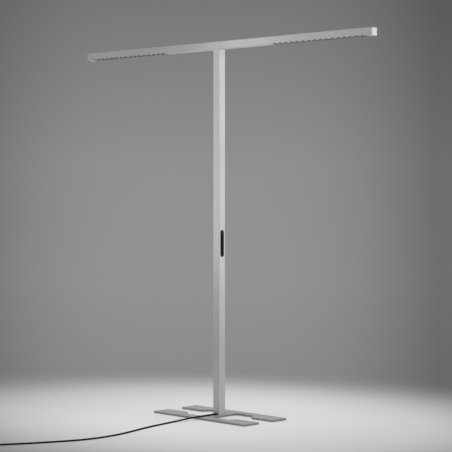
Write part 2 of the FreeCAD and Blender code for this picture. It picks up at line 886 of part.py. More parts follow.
def report_tube(name, path, solid):
    section = tube_sides / 2 * lead_radius ** 2 * math.sin(2 * math.pi / tube_sides)
    share = solid.Volume / (section * path.Length)
    print(name, "length", round(path.Length), "volume share", round(share, 4))


def make_coil_tie():
    """Strap round all the turns at one place of the coil."""
    inner_turn = coil_outer_radius - coil_pitch * coil_turns_per_layer - coil_pitch / 8
    r0 = inner_turn - lead_radius - coil_tie_gap
    r1 = coil_outer_radius + lead_radius + coil_tie_gap
    z0 = coil_bottom_layer - lead_radius - coil_tie_gap
    z1 = coil_top_layer + lead_radius + coil_tie_gap

    def hoop(grow, corner, width):
        y = -width / 2
        corners = [V(r0 - grow, y, z0 - grow), V(r1 + grow, y, z0 - grow),
                   V(r1 + grow, y, z1 + grow), V(r0 - grow, y, z1 + grow)]
        return prism(rounded_outline(corners, [corner] * 4), V(0, width, 0))

    strap = hoop(tie_thickness, tie_corner, tie_width).cut(hoop(0, tie_corner - tie_thickness, 2 * tie_width))
    strap.rotate(V(0, 0, 0), Z_AXIS, tie_angle)
    strap.translate(coil_centre)
    return strap


def plug_profile():
    """Outline of the plug from its neck to its flat face: (distance, radius)."""
    body = 0.62 * plug_radius
    grip = plug_neck + 12
    return [(0, gland_tip / 2), (plug_neck, 0.4 * plug_radius), (plug_neck, body), (grip - 4, 0.82 * plug_radius),
            (grip, plug_radius), (grip + 18, plug_radius), (grip + 20, plug_radius - 1.5)]


def plug_length():
    return plug_profile()[-1][0]


def beside_plug(offset):
    """A point on the plug's face, offset sideways in the horizontal plane."""
    way = plug_way()
    return plug_start() + way * plug_length() + V(-way.y, way.x, 0) * offset


def make_plug_body():
    body = revolved(plug_profile(), plug_start(), plug_way())
    notch = block(plug_length() - 16, plug_length() + 1, -4, 4, plug_radius - 3, plug_radius + 1)
    tools = [notch, notch.mirror(V(0, 0, 0), Z_AXIS)]
    for tool in tools:
        tool.Placement = FreeCAD.Placement(plug_start(), FreeCAD.Rotation(X_AXIS, plug_way())).multiply(tool.Placement)
    return cut_all(body, tools)


def make_plug_clips():
    """Earth contacts in the notches at the top and bottom of the plug."""
    floor = plug_radius - 3
    clip = block(plug_length() - 15, plug_length() - 1, -2.5, 2.5, floor, floor + 1.2)
    clips = [clip, clip.mirror(V(0, 0, 0), Z_AXIS)]
    for piece in clips:
        piece.Placement = FreeCAD.Placement(plug_start(), FreeCAD.Rotation(X_AXIS, plug_way())).multiply(piece.Placement)
    return group(clips)


def make_plug_pins():
    diameter, length, spacing = plug_pin
    profile = [(0, diameter / 2), (length - 1, diameter / 2), (length, diameter / 2 - 1)]
    return group([revolved(profile, beside_plug(offset), plug_way()) for offset in (-spacing / 2, spacing / 2)])


# ---- all nodes -----------------------------------------------------------
def make_parts():
    louvre = make_louvre()
    board, board_top = strip(led_board_bottom, led_board_thickness), strip(web_top, led_board_thickness)
    lights = leds(cell_centres(), led_board_bottom - led_thickness)
    lights_top = leds(top_led_places(), web_top + led_board_thickness)
    cap = make_right_end_cap()
    parts = {
        "base_plate": make_base_plate(), "base_glides": make_base_glides(), "base_screws": make_base_screws(),
        "mast_foot": make_mast_foot(), "mast_tube": make_mast_tube(), "mast_screws": make_mast_screws(),
        "head_block": make_head_block(), "head_bolts": make_head_bolts(), "arm_joiner": make_arm_joiner(),
        "joiner_screws": make_joiner_screws(), "joint_collar": make_joint_collar(),
        "left_profile": make_left_profile(), "right_profile": make_right_profile(),
        "left_end_cap": mirrored(cap), "right_end_cap": cap,
        "left_louvre": mirrored(louvre), "right_louvre": louvre,
        "left_led_board": mirrored(board), "right_led_board": board,
        "left_leds": mirrored(lights), "right_leds": lights,
        "left_top_board": mirrored(board_top), "right_top_board": board_top,
        "left_top_leds": mirrored(lights_top), "right_top_leds": lights_top,
        "left_top_diffuser": diffuser(-arm_end, left_arm_inner),
        "right_top_diffuser": diffuser(right_arm_inner, arm_end),
        "control_cover": make_control_cover(), "control_tray": make_control_tray(),
        "control_board": make_control_board(), "key_switches": make_key_switches(),
        "presence_sensor": make_presence_sensor(), "sensor_lens": make_sensor_lens(),
        "led_driver": make_led_driver(), "driver_pad": make_driver_pad(),
        "terminal_block": make_terminal_block(), "inner_wires": make_inner_wires(),
        "supply_wires": make_supply_wires(), "control_wire": make_control_wire(),
        "head_wires": group([head_wire(-1), head_wire(1)]),
        "lead_gland": make_lead_gland(), "mains_lead": make_mains_lead(), "lead_coil": make_lead_coil(),
        "coil_tie": make_coil_tie(), "plug_body": make_plug_body(), "plug_pins": make_plug_pins(),
        "plug_clips": make_plug_clips(),
    }
    for name in key_heights():
        parts[name] = make_key(name)
    return parts


os.makedirs("parts", exist_ok=True)
for node, shape in make_parts().items():
    shape.exportStep("parts/" + node + ".step")
    box = shape.BoundBox
    print(node, len(shape.Solids), shape.isValid(), [round(v, 1) for v in
          (box.XMin, box.XMax, box.YMin, box.YMax, box.ZMin, box.ZMax)])
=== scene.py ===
import json
import math

import bmesh
import bpy
from mathutils import Matrix, Vector


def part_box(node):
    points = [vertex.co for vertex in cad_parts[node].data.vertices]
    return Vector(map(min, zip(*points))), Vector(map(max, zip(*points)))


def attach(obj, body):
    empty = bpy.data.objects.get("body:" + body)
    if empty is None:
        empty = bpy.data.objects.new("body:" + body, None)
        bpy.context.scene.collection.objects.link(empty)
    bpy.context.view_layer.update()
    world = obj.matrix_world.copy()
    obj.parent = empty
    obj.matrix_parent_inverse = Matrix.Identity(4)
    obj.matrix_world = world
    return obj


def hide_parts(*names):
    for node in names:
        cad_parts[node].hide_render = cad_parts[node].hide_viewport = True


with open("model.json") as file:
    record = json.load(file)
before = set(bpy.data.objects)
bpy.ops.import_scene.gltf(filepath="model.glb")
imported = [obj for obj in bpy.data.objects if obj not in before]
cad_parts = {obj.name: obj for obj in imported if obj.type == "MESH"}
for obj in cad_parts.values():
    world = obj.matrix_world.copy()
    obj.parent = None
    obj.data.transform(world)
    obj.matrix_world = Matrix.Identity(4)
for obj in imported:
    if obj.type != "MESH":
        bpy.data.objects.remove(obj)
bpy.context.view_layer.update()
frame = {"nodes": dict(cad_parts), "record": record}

mm = 0.001
print("frame loaded:", len(frame["nodes"]), "nodes")


# shading: sockets with arithmetic, and one way to add any other node
class Wire:  # an output socket; an expression on it adds Math nodes
    def __init__(self, nodes, socket):
        self.nodes, self.socket = nodes, socket

    def maths(self, operation, first, second):
        return self.nodes.node("ShaderNodeMath", {"operation": operation}, {0: first, 1: second})

    def __add__(self, other):
        return self.maths("ADD", self, other)

    def __radd__(self, other):
        return self.maths("ADD", other, self)

    def __sub__(self, other):
        return self.maths("SUBTRACT", self, other)

    def __rsub__(self, other):
        return self.maths("SUBTRACT", other, self)

    def __mul__(self, other):
        return self.maths("MULTIPLY", self, other)

    def __rmul__(self, other):
        return self.maths("MULTIPLY", other, self)

    def __pow__(self, other):
        return self.maths("POWER", self, other)


class Nodes:  # adds any node to a tree and joins its sockets
    def __init__(self, tree):
        self.tree = tree

    def node(self, kind, settings=None, inputs=None, output=0):
        made = self.tree.nodes.new(kind)
        for key, value in (settings or {}).items():
            if key == "stops":
                self.setStops(made.color_ramp, value)
            else:
                setattr(made, key, value)
        for key, value in (inputs or {}).items():
            self.join(made.inputs[key], value)
        return Wire(self, made.outputs[output])

    def setStops(self, ramp, stops):
        while len(ramp.elements) < len(stops):
            ramp.elements.new(0.5)
        for element, (position, grey) in zip(ramp.elements, stops):
            element.position = position
            element.color = (grey, grey, grey, 1)

    def join(self, socket, value):
        if isinstance(value, Wire):
            self.tree.links.new(value.socket, socket)
        else:
            socket.default_value = value

    def ramp(self, value, stops):
        return self.node("ShaderNodeValToRGB", {"stops": stops}, {"Fac": value})


class Paint(Nodes):  # one material, with its Principled shader at hand
    def __init__(self, name, **fixed):
        self.material = bpy.data.materials.new(name)
        self.material.use_nodes = True
        super().__init__(self.material.node_tree)
        self.shader = self.tree.nodes["Principled BSDF"]
        for socket, value in fixed.items():
            self.shader.inputs[socket.replace("_", " ")].default_value = value

    def feed(self, socket, value):
        self.join(self.shader.inputs[socket], value)

    def place(self, scale=(1, 1, 1)):  # object coordinates, stretched
        here = self.node("ShaderNodeTexCoord", output="Object")
        return self.node("ShaderNodeMapping", None, {"Vector": here, "Scale": scale})

    def noise(self, scale, detail=3, stretch=(1, 1, 1), roughness=0.55):
        inputs = {"Vector": self.place(stretch), "Scale": scale, "Detail": detail, "Roughness": roughness}
        return self.node("ShaderNodeTexNoise", None, inputs)

    def colour(self, share, dark, light):
        made = self.tree.nodes.new("ShaderNodeMix")
        made.data_type = "RGBA"
        self.join(made.inputs[0], share)
        self.join(made.inputs[6], (*dark, 1))  # the Mix node's colours are its sockets 6 and 7
        self.join(made.inputs[7], (*light, 1))
        self.feed("Base Color", Wire(self, made.outputs[2]))

    def bump(self, height, strength, distance=0.0001):
        inputs = {"Height": height, "Strength": strength, "Distance": distance}
        self.feed("Normal", self.node("ShaderNodeBump", None, inputs))


silverLook = {
    "light": (0.63, 0.63, 0.63), "dark": (0.585, 0.585, 0.586), "metallic": 0.5, "roughness": 0.4,
    "coat": 0.04, "coatRoughness": 0.3, "streakScale": 260, "streakStretch": 0.012, "streakShare": 0.55,
    "streakRough": 0.07, "cloudScale": 3.5, "cloudShare": 0.35, "wiped": [(0.35, 0.0), (0.7, 1.0)],
    "wipedRough": 0.05, "grainScale": 2600, "grainRough": 0.03, "bump": 0.12,
}


def paintSilver(name, along):  # satin anodised section, drawn lines run along the extrusion
    look = silverLook
    paint = Paint(name, Metallic=look["metallic"], Coat_Weight=look["coat"],
                  Coat_Roughness=look["coatRoughness"])
    stretch = [look["streakStretch"] if axis == along else 1 for axis in range(3)]
    lines = paint.noise(look["streakScale"], 4, stretch, 0.7)
    grain = paint.noise(look["grainScale"], 2)
    clouds = paint.noise(look["cloudScale"], 4)
    wiped = paint.ramp(clouds, look["wiped"])
    paint.colour(lines * look["streakShare"] + clouds * look["cloudShare"], look["dark"], look["light"])
    rough = lines * look["streakRough"] + wiped * look["wipedRough"] + grain * look["grainRough"]
    paint.feed("Roughness", rough + (look["roughness"] - look["streakRough"]))
    paint.bump(lines * 0.5 + grain * 0.5, look["bump"])
    return paint.material


plateLook = {
    "light": (0.34, 0.34, 0.34), "dark": (0.30, 0.30, 0.301), "metallic": 0.3, "roughness": 0.43,
    "grainScale": 1500, "grainRough": 0.08, "flakeScale": 5200, "flakeShare": 0.6,
    "scuffScale": 38, "scuffStretch": (1, 0.35, 1), "worn": [(0.6, 0.0), (0.72, 1.0)], "wornShare": 0.25,
    "wornRough": 0.06, "bump": 0.22, "bumpDepth": 0.00012,
}


def paintPlate():  # powder-coated steel, with fine peel and a little scuffing
    look = plateLook
    paint = Paint("grey powder coat", Metallic=look["metallic"])
    grain = paint.noise(look["grainScale"], 3)
    flakes = paint.noise(look["flakeScale"], 1)
    scuffs = paint.noise(look["scuffScale"], 6, look["scuffStretch"], 0.75)
    worn = paint.ramp(scuffs, look["worn"])
    paint.colour(flakes * look["flakeShare"] + worn * look["wornShare"], look["dark"], look["light"])
    paint.feed("Roughness", grain * look["grainRough"] + worn * look["wornRough"] + look["roughness"])
    paint.bump(grain, look["bump"], look["bumpDepth"])
    return paint.material


def paintPlain(name, light, dark, roughness, grainScale=900, metallic=0.0, bump=0.1, spread=0.06, **fixed):
    paint = Paint(name, Metallic=metallic, **fixed)
    grain = paint.noise(grainScale, 3)
    clouds = paint.noise(grainScale / 30, 4)
    paint.colour(clouds * 0.7 + grain * 0.3, dark, light)
    paint.feed("Roughness", clouds * spread + grain * spread + (roughness - spread))
    paint.bump(grain, bump)
    return paint.material


glossLook = {
    "light": (0.007, 0.007, 0.0075), "dark": (0.002, 0.002, 0.0022), "specular": 0.05, "roughness": 0.12,
    "smearScale": 90, "smearStretch": (1, 1, 0.5), "marks": [(0.45, 0.0), (0.75, 1.0)], "markShare": 0.4,
    "markRough": 0.12, "dustScale": 2400, "dust": [(0.66, 0.0), (0.7, 1.0)], "dustShare": 0.5,
    "dustRough": 0.2, "bump": 0.02,
}


def paintBlackGloss():  # polished acrylic with the faint smears of fingers
    look = glossLook
    paint = Paint("gloss black acrylic", Specular_IOR_Level=look["specular"])
    smears = paint.noise(look["smearScale"], 5, look["smearStretch"], 0.65)
    dust = paint.ramp(paint.noise(look["dustScale"], 2), look["dust"])
    marks = paint.ramp(smears, look["marks"])
    paint.colour(marks * look["markShare"] + dust * look["dustShare"], look["dark"], look["light"])
    paint.feed("Roughness", marks * look["markRough"] + dust * look["dustRough"] + look["roughness"])
    paint.bump(smears, look["bump"])
    return paint.material


louvreLook = {
    "light": (0.22, 0.22, 0.22), "dark": (0.17, 0.17, 0.17), "metallic": 0.4, "specular": 0.25,
    "roughness": 0.3, "flowScale": 160, "flowStretch": (0.3, 1, 1), "flowRough": 0.1,
    "grainScale": 1800, "grainRough": 0.04, "bump": 0.05,
}


def paintLouvre():  # dark, half metallic moulding of the reflector cups
    look = louvreLook
    paint = Paint("dark reflector", Metallic=look["metallic"], Specular_IOR_Level=look["specular"])
    flow = paint.noise(look["flowScale"], 4, look["flowStretch"])
    grain = paint.noise(look["grainScale"], 2)
    paint.colour(flow, look["dark"], look["light"])
    paint.feed("Roughness", flow * look["flowRough"] + grain * look["grainRough"] + look["roughness"])
    paint.bump(grain, look["bump"])
    return paint.material


sheathLook = {
    "light": (0.003, 0.003, 0.003), "dark": (0.0012, 0.0012, 0.0012), "specular": 0.12, "roughness": 0.5,
    "grainScale": 1400, "grainRough": 0.12, "cloudScale": 22, "cloudRough": 0.1, "bump": 0.15,
}


def paintSheath():  # matt PVC sheath of the lead
    look = sheathLook
    paint = Paint("black cable sheath", Specular_IOR_Level=look["specular"])
    grain = paint.noise(look["grainScale"], 3)
    clouds = paint.noise(look["cloudScale"], 3)
    paint.colour(clouds, look["dark"], look["light"])
    paint.feed("Roughness", grain * look["grainRough"] + clouds * look["cloudRough"] + look["roughness"])
    paint.bump(grain, look["bump"])
    return paint.material


strapLook = {
    "light": (0.03, 0.03, 0.03), "dark": (0.008, 0.008, 0.008), "sheen": 0.3, "roughness": 0.8,
    "weaveScale": 1500, "fuzzScale": 2600, "fuzzRough": 0.1, "bump": 0.6, "bumpDepth": 0.0003,
}


def paintStrap():  # hook-and-loop tie: fuzzy weave
    look = strapLook
    paint = Paint("black loop strap", Sheen_Weight=look["sheen"])
    cells = {"Vector": paint.place(), "Scale": look["weaveScale"]}
    weave = paint.node("ShaderNodeTexVoronoi", None, cells, output="Distance")
    fuzz = paint.noise(look["fuzzScale"], 3)
    paint.colour(weave, look["dark"], look["light"])
    paint.feed("Roughness", fuzz * look["fuzzRough"] + look["roughness"])
    paint.bump(weave * 0.7 + fuzz * 0.3, look["bump"], look["bumpDepth"])
    return paint.material


boardLook = {
    "light": (0.80, 0.81, 0.80), "dark": (0.70, 0.72, 0.71), "roughness": 0.3, "runScale": 120,
    "runEdge": [(0.44, 0.0), (0.56, 1.0)], "runShare": 0.6, "runRough": 0.06,
    "grainScale": 700, "grainShare": 0.4, "grainRough": 0.05, "bump": 0.1,
}


def paintBoard():  # white solder resist with faint copper runs under it
    look = boardLook
    paint = Paint("white circuit board")
    runs = paint.node("ShaderNodeTexWave", {"wave_type": "BANDS", "bands_direction": "Y"},
                      {"Vector": paint.place(), "Scale": look["runScale"], "Distortion": 1.5, "Detail": 2})
    grain = paint.noise(look["grainScale"], 2)
    edge = paint.ramp(runs, look["runEdge"])
    paint.colour(edge * look["runShare"] + grain * look["grainShare"], look["dark"], look["light"])
    paint.feed("Roughness", edge * look["runRough"] + grain * look["grainRough"] + look["roughness"])
    paint.bump(edge, look["bump"])
    return paint.material


paints = {  # the plain ones: name, light, dark, roughness, grain scale, metallic
    "silver_head": paintSilver("satin silver head", 0),
    "silver_mast": paintSilver("satin silver mast", 2),
    "grey_base": paintPlate(),
    "black_rubber": paintPlain("black rubber", (0.022, 0.022, 0.022), (0.012, 0.012, 0.012), 0.62, 700,
                               bump=0.3),
    "plain_steel": paintPlain("zinc plated steel", (0.62, 0.61, 0.59), (0.48, 0.47, 0.45), 0.32, 1200, 0.9),
    "raw_aluminium": paintPlain("machined aluminium", (0.68, 0.68, 0.69), (0.56, 0.56, 0.57), 0.34, 1500,
                                0.9),
    "louvre_plastic": paintLouvre(),
    "opal_plastic": paintPlain("opal acrylic", (0.60, 0.605, 0.60), (0.56, 0.565, 0.56), 0.38, 500,
                               bump=0.05),
    "circuit_board": paintBoard(),
    "led_phosphor": paintPlain("LED phosphor", (0.86, 0.70, 0.22), (0.78, 0.6, 0.16), 0.42, 1500, bump=0.15),
    "black_gloss": paintBlackGloss(),
    "key_black": paintPlain("satin black key", (0.006, 0.006, 0.0065), (0.003, 0.003, 0.0035), 0.3, 1300,
                            bump=0.06, Specular_IOR_Level=0.06),
    "black_plastic": paintPlain("matt black moulding", (0.03, 0.03, 0.03), (0.02, 0.02, 0.02), 0.55, 900,
                                bump=0.2),
    "lens_plastic": paintPlain("smoked lens", (0.02, 0.01, 0.013), (0.012, 0.006, 0.008), 0.1, 300,
                               bump=0.01),
    "driver_casing": paintPlain("white driver casing", (0.74, 0.74, 0.71), (0.66, 0.66, 0.63), 0.5, 600,
                                bump=0.15),
    "foam_pad": paintPlain("grey foam", (0.16, 0.16, 0.16), (0.1, 0.1, 0.1), 0.85, 1600, bump=0.6),
    "wire_sleeve": paintPlain("white silicone sleeve", (0.72, 0.72, 0.70), (0.62, 0.62, 0.60), 0.5, 800,
                              bump=0.1),
    "lead_sheath": paintSheath(),
    "tie_strap": paintStrap(),
    "plug_plastic": paintPlain("black plug moulding", (0.016, 0.016, 0.016), (0.009, 0.009, 0.009), 0.42,
                               900, bump=0.25),
    "plug_metal": paintPlain("nickel plating", (0.70, 0.67, 0.60), (0.58, 0.55, 0.49), 0.24, 1400, 0.95),
}
for part in frame["record"]["subparts"]:
    cadObject = frame["nodes"][part["node"]]
    cadObject.data.materials.clear()
    cadObject.data.materials.append(paints[part["material_slot"]])
print("materials:", len(paints))


# new pieces: each takes its body, its slot and the nodes it stands for
def addPiece(name, bm, body, slotName, replaced=(), smooth=30):
    bmesh.ops.remove_doubles(bm, verts=bm.verts, dist=1e-6)
    bmesh.ops.recalc_face_normals(bm, faces=bm.faces)
    mesh = bpy.data.meshes.new(name)
    bm.to_mesh(mesh)
    bm.free()
    mesh.shade_smooth()
    mesh.set_sharp_from_angle(angle=math.radians(smooth))
    piece = bpy.data.objects.new(name, mesh)
    bpy.context.scene.collection.objects.link(piece)
    mesh.materials.append(paints[slotName])
    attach(piece, body)
    if replaced:
        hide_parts(*replaced)
    return piece


def lathe(bm, profile, steps, place):  # spins (distance, radius) points about x, then moves the result
    before = set(bm.verts)
    chain = [bm.verts.new((along, 0, radius)) for along, radius in profile]
    edges = [bm.edges.new(pair) for pair in zip(chain, chain[1:])]
    bmesh.ops.spin(bm, geom=chain + edges, cent=(0, 0, 0), axis=(1, 0, 0), angle=2 * math.pi,
                   steps=steps, use_merge=True)
    verts = [vert for vert in bm.verts if vert not in before]
    bmesh.ops.transform(bm, matrix=place, verts=verts)
    return verts


def aim(start, way):  # turns the x axis to way and moves the origin to start
    way = Vector(way).normalized()
    return Matrix.Translation(Vector(start)) @ way.to_track_quat("X", "Z").to_matrix().to_4x4()


def pillLoop(bm, width, length, x, z, segments):
    made = bmesh.ops.create_circle(bm, segments=segments, radius=width / 2)
    turn = Matrix.Rotation(math.pi / segments, 4, "Z")
    bmesh.ops.transform(bm, matrix=turn, verts=made["verts"])
    for vert in made["verts"]:
        across, up = vert.co.x, vert.co.y
        vert.co = (x, across, z + up + math.copysign((length - width) / 2, up))
    return made["verts"]


def pillPlate(bm, width, length, x, z, depth, bevel, holes=(), segments=48):
    outline = pillLoop(bm, width, length, x, z, segments)
    rims = list(outline)
    for holeWidth, holeLength, holeZ in holes:
        rims += pillLoop(bm, holeWidth, holeLength, x, holeZ, 36)
    edges = list({edge for vert in rims for edge in vert.link_edges})
    filled = bmesh.ops.triangle_fill(bm, use_beauty=True, use_dissolve=True, edges=edges)
    faces = [item for item in filled["geom"] if isinstance(item, bmesh.types.BMFace)]
    raised = bmesh.ops.extrude_face_region(bm, geom=faces, use_keep_orig=True)
    front = [item for item in raised["geom"] if isinstance(item, bmesh.types.BMVert)]
    bmesh.ops.translate(bm, vec=(depth, 0, 0), verts=front)
    bmesh.ops.recalc_face_normals(bm, faces=bm.faces)
    # the front rims turn by a right angle, and the joins within the face by nothing
    corners = [edge for edge in bm.edges if all(vert in front for vert in edge.verts)
               and len(edge.link_faces) == 2 and edge.calc_face_angle(0) > 1]
    bmesh.ops.bevel(bm, geom=corners, offset=bevel, offset_type="OFFSET", segments=3, profile=0.5,
                    affect="EDGES", clamp_overlap=True, material=-1)


control = {
    "face": 0.022, "inside": 0.020, "centre": 0.9007, "width": 0.0245, "length": 0.140, "proud": 0.0006,
    "edge": 0.0006, "gap": 0.0003, "lensRise": 0.050, "lensDiameter": 0.007, "lensCrown": 0.0005,
    "round": 1e-5,  # a round outline is a pill that is longer than wide by this
    "keys": {
        "power_key": {"body": "power_button", "width": 0.015, "length": 0.01501, "rise": -0.043},
        "dimmer_key": {"body": "dimmer_button", "width": 0.012, "length": 0.026, "rise": -0.011},
        "brighter_key": {"body": "brighter_button", "width": 0.012, "length": 0.026, "rise": 0.021},
    },
    "keyProud": 0.0003, "keyEdge": 0.0007, "flangeDepth": 0.0011, "flangeGrow": 0.0026,
    "flangeEdge": 0.0002, "stemRadius": 0.0025,
}


def makeControlCover():
    bm = bmesh.new()
    gap = 2 * control["gap"]
    holes = [(key["width"] + gap, key["length"] + gap, control["centre"] + key["rise"])
             for key in control["keys"].values()]
    lensHole = control["lensDiameter"] + control["gap"]
    holes.append((lensHole, lensHole + control["round"], control["centre"] + control["lensRise"]))
    depth = control["face"] + control["proud"] - control["inside"]
    pillPlate(bm, control["width"], control["length"], control["inside"], control["centre"], depth,
              control["edge"], holes, 64)
    addPiece("control_strip_cover", bm, "lamp", "black_gloss", ["control_cover"], 20)


def makeKey(name):
    key = control["keys"][name]
    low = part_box(name)[0]
    z = control["centre"] + key["rise"]
    bm = bmesh.new()
    front = control["face"] + control["proud"] + control["keyProud"]
    back = control["inside"] - control["gap"]
    pillPlate(bm, key["width"], key["length"], back, z, front - back, control["keyEdge"])
    flangeBack = back - control["flangeDepth"]
    grow = control["flangeGrow"]
    pillPlate(bm, key["width"] + grow, key["length"] + grow, flangeBack, z, back - flangeBack,
              control["flangeEdge"])
    stemLength, stemRadius = flangeBack - low.x, control["stemRadius"]
    stem = [(0, 0), (0, stemRadius), (stemLength, stemRadius), (stemLength, 0)]
    lathe(bm, stem, 24, Matrix.Translation((low.x, 0, z)))
    addPiece(name + "_cap", bm, key["body"], "key_black", [name], 20)


def makeSensorLens():
    low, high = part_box("sensor_lens")
    radius, crown = control["lensDiameter"] / 2, control["lensCrown"]
    rimHeight = high.x - low.x - crown
    profile = [(0, 0), (0, radius)]
    steps = 6
    for i in range(steps + 1):  # low dome
        share = i / steps
        profile.append((rimHeight + crown * (1 - (1 - share) ** 2), radius * (1 - share)))
    bm = bmesh.new()
    lathe(bm, profile, 32, Matrix.Translation((low.x, 0, (low.z + high.z) / 2)))
    addPiece("sensor_window", bm, "lamp", "lens_plastic", ["sensor_lens"], 40)


screwLook = {
    "head": 0.004, "rise": 0.0022, "shank": 0.002, "brim": 0.0004, "domeSteps": 8, "domePower": 0.9,
    "socket": 0.00125, "socketDepth": 0.0013, "socketRim": 1.3, "socketFlat": 0.92,
    "wallScrews": {"y": 0.022, "reach": 0.014, "x": (-0.010, 0.010), "z": (0.050, 1.886)},
    "armScrews": {"y": 0.019, "reach": 0.0053, "x": (-0.073, -0.023, 0.0896, 0.1396), "z": (1.9233,)},
}


def makeButtonScrews(name, group, node):
    look = screwLook
    bm = bmesh.new()
    head, rise, socket = look["head"], look["rise"], look["socket"]
    profile = [(-group["reach"], 0), (-group["reach"], look["shank"]), (0, look["shank"]), (0, head),
               (look["brim"], head)]
    steps = look["domeSteps"]
    for i in range(1, steps + 1):  # dome from the brim up to the socket's rim
        share = i / steps
        out = head + (socket * look["socketRim"] - head) * share
        bow = math.sin(share * math.pi / 2) ** look["domePower"]
        profile.append((look["brim"] + (rise - look["brim"]) * bow, out))
    floor = rise - look["socketDepth"]
    profile += [(rise, socket), (floor, socket), (floor, 0)]
    for x in group["x"]:
        for z in group["z"]:
            verts = lathe(bm, profile, 36, Matrix.Identity(4))
            for vert in verts:  # the socket's round wall becomes six-sided
                out = math.hypot(vert.co.y, vert.co.z)
                if abs(out - socket) < 1e-6 and vert.co.x > 0:
                    turn = math.atan2(vert.co.z, vert.co.y) % (math.pi / 3) - math.pi / 6
                    vert.co.y = vert.co.y * look["socketFlat"] / math.cos(turn)
                    vert.co.z = vert.co.z * look["socketFlat"] / math.cos(turn)
            bmesh.ops.transform(bm, matrix=aim((x, group["y"], z), (0, 1, 0)), verts=verts)
    addPiece(name, bm, "lamp", "plain_steel", [node], 35)


collarLook = {"corner": 0.0008, "seams": (0.0009, 0.0005), "edge": 0.0005, "wall": 0.002, "recess": 0.004}


def makeCollar():  # short section at the mast, its ends drawn in a little so that both joints read
    look = collarLook
    low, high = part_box("joint_collar")
    bm = bmesh.new()
    start, end = low.x + look["seams"][0], high.x - look["seams"][1]
    size = Vector((end - start, high.y - low.y, high.z - low.z))
    middle = Vector(((start + end) / 2, 0, (low.z + high.z) / 2))
    bmesh.ops.create_cube(bm, size=1, matrix=Matrix.Translation(middle) @ Matrix.Diagonal(size).to_4x4())
    along = [edge for edge in bm.edges if abs((edge.verts[0].co - edge.verts[1].co).x) > 1e-6]
    bmesh.ops.bevel(bm, geom=along, offset=look["corner"], offset_type="OFFSET", segments=1, profile=0.5,
                    affect="EDGES", clamp_overlap=True, material=-1)
    ends = [face for face in bm.faces if abs(face.normal.x) > 0.9]
    rims = list({edge for face in ends for edge in face.edges})
    bmesh.ops.inset_region(bm, faces=ends, thickness=look["wall"], use_even_offset=True)
    for face in [face for face in bm.faces if abs(face.normal.x) > 0.9 and len(face.verts) == 8]:
        inwards = -math.copysign(look["recess"], face.normal.x)
        bmesh.ops.translate(bm, vec=(inwards, 0, 0), verts=face.verts)
    bmesh.ops.bevel(bm, geom=rims, offset=look["edge"], offset_type="OFFSET", segments=2, profile=0.5,
                    affect="EDGES", clamp_overlap=True, material=-1)
    addPiece("arm_joint_collar", bm, "lamp", "silver_head", ["joint_collar"], 15)


glideLook = {"radius": 0.012, "height": 0.002, "edge": 0.0006, "x": 0.295, "y": 0.105}


def makeGlides():
    look = glideLook
    bm = bmesh.new()
    for x in (-look["x"], look["x"]):
        for y in (-look["y"], look["y"]):
            place = Matrix.Translation((x, y, look["height"] / 2))
            bmesh.ops.create_cone(bm, cap_ends=True, segments=40, radius1=look["radius"] - look["edge"],
                                  radius2=look["radius"], depth=look["height"], matrix=place)
    addPiece("rubber_glides", bm, "lamp", "black_rubber", ["base_glides"])


makeControlCover()
for keyName in control["keys"]:
    makeKey(keyName)
makeSensorLens()
makeButtonScrews("mast_button_screws", screwLook["wallScrews"], "mast_screws")
makeButtonScrews("arm_button_screws", screwLook["armScrews"], "joiner_screws")
makeGlides()
makeCollar()
print("control strip, screws and glides made")


# mains lead: the solid's route, with three points moved where it crosses the front foot
lead = {
    "diameter": 8 * mm, "floor": 4.1 * mm, "exitHeight": 14.6 * mm, "exitY": -46 * mm, "exitRun": 34 * mm,
    "coilCentre": Vector((-0.148, -1.394, 0)), "coilStart": -26.5, "coilRadius": 57 * mm,
    "coilPitch": 8.8 * mm, "turnsPerLayer": 2.375, "climbTurns": 0.5, "liftTurns": 0.5,
    "pointsPerTurn": 16, "plugAxis": 19.1 * mm, "finalRun": 96 * mm, "tieLift": 1.4 * mm,
}
floorZ = lead["floor"]
leadRoute = [
    (0, lead["exitY"], lead["exitHeight"]),
    (0, -0.086, lead["exitHeight"]),
    (0, -0.130, 0.0143),
    (0.001, -0.178, 0.0141),
    (-0.009, -0.236, 0.0095),
    (-0.014, -0.305, floorZ),
    (0, -0.390, floorZ),
    (0.016, -0.478, floorZ),
    (0.043, -0.588, floorZ),
    (0.082, -0.716, floorZ),
    (0.099, -0.810, floorZ),
    (0.104, -0.926, floorZ),
    (0.085, -1.022, floorZ),
    (0.044, -1.124, floorZ),
    (-0.004, -1.232, floorZ),
]


def smoothStep(share):
    share = min(max(share, 0), 1)
    return share * share * (3 - 2 * share)


def coilPoint(turn):  # in along the floor, up a layer where it reverses, and out again
    layer, climb, pitch = lead["turnsPerLayer"], lead["climbTurns"], lead["coilPitch"]
    inner = lead["coilRadius"] - pitch * layer
    low = lead["floor"] + lead["tieLift"]
    back = turn - layer - climb
    if turn < layer:
        radius, height = lead["coilRadius"] - pitch * turn, low
    elif back < 0:
        part = turn - layer
        radius = inner - pitch * part * (1 - part / climb)
        height = low + pitch * smoothStep(part / climb)
    else:
        radius, height = inner + pitch * back, low + pitch
        lift = (back - layer) / lead["liftTurns"] + 1
        height += (lead["plugAxis"] - height) * smoothStep(lift)
    angle = math.radians(lead["coilStart"]) - 2 * math.pi * turn
    return lead["coilCentre"] + Vector((radius * math.cos(angle), radius * math.sin(angle), height))


coilTurns = 2 * lead["turnsPerLayer"] + lead["climbTurns"]


def coilWay(turn):
    step = 1e-4
    return (coilPoint(min(turn + step, coilTurns)) - coilPoint(max(turn - step, 0))).normalized()


plugWay = coilWay(coilTurns)
plugWay.z = 0
plugWay.normalize()
plugStart = coilPoint(coilTurns) + plugWay * lead["exitRun"]


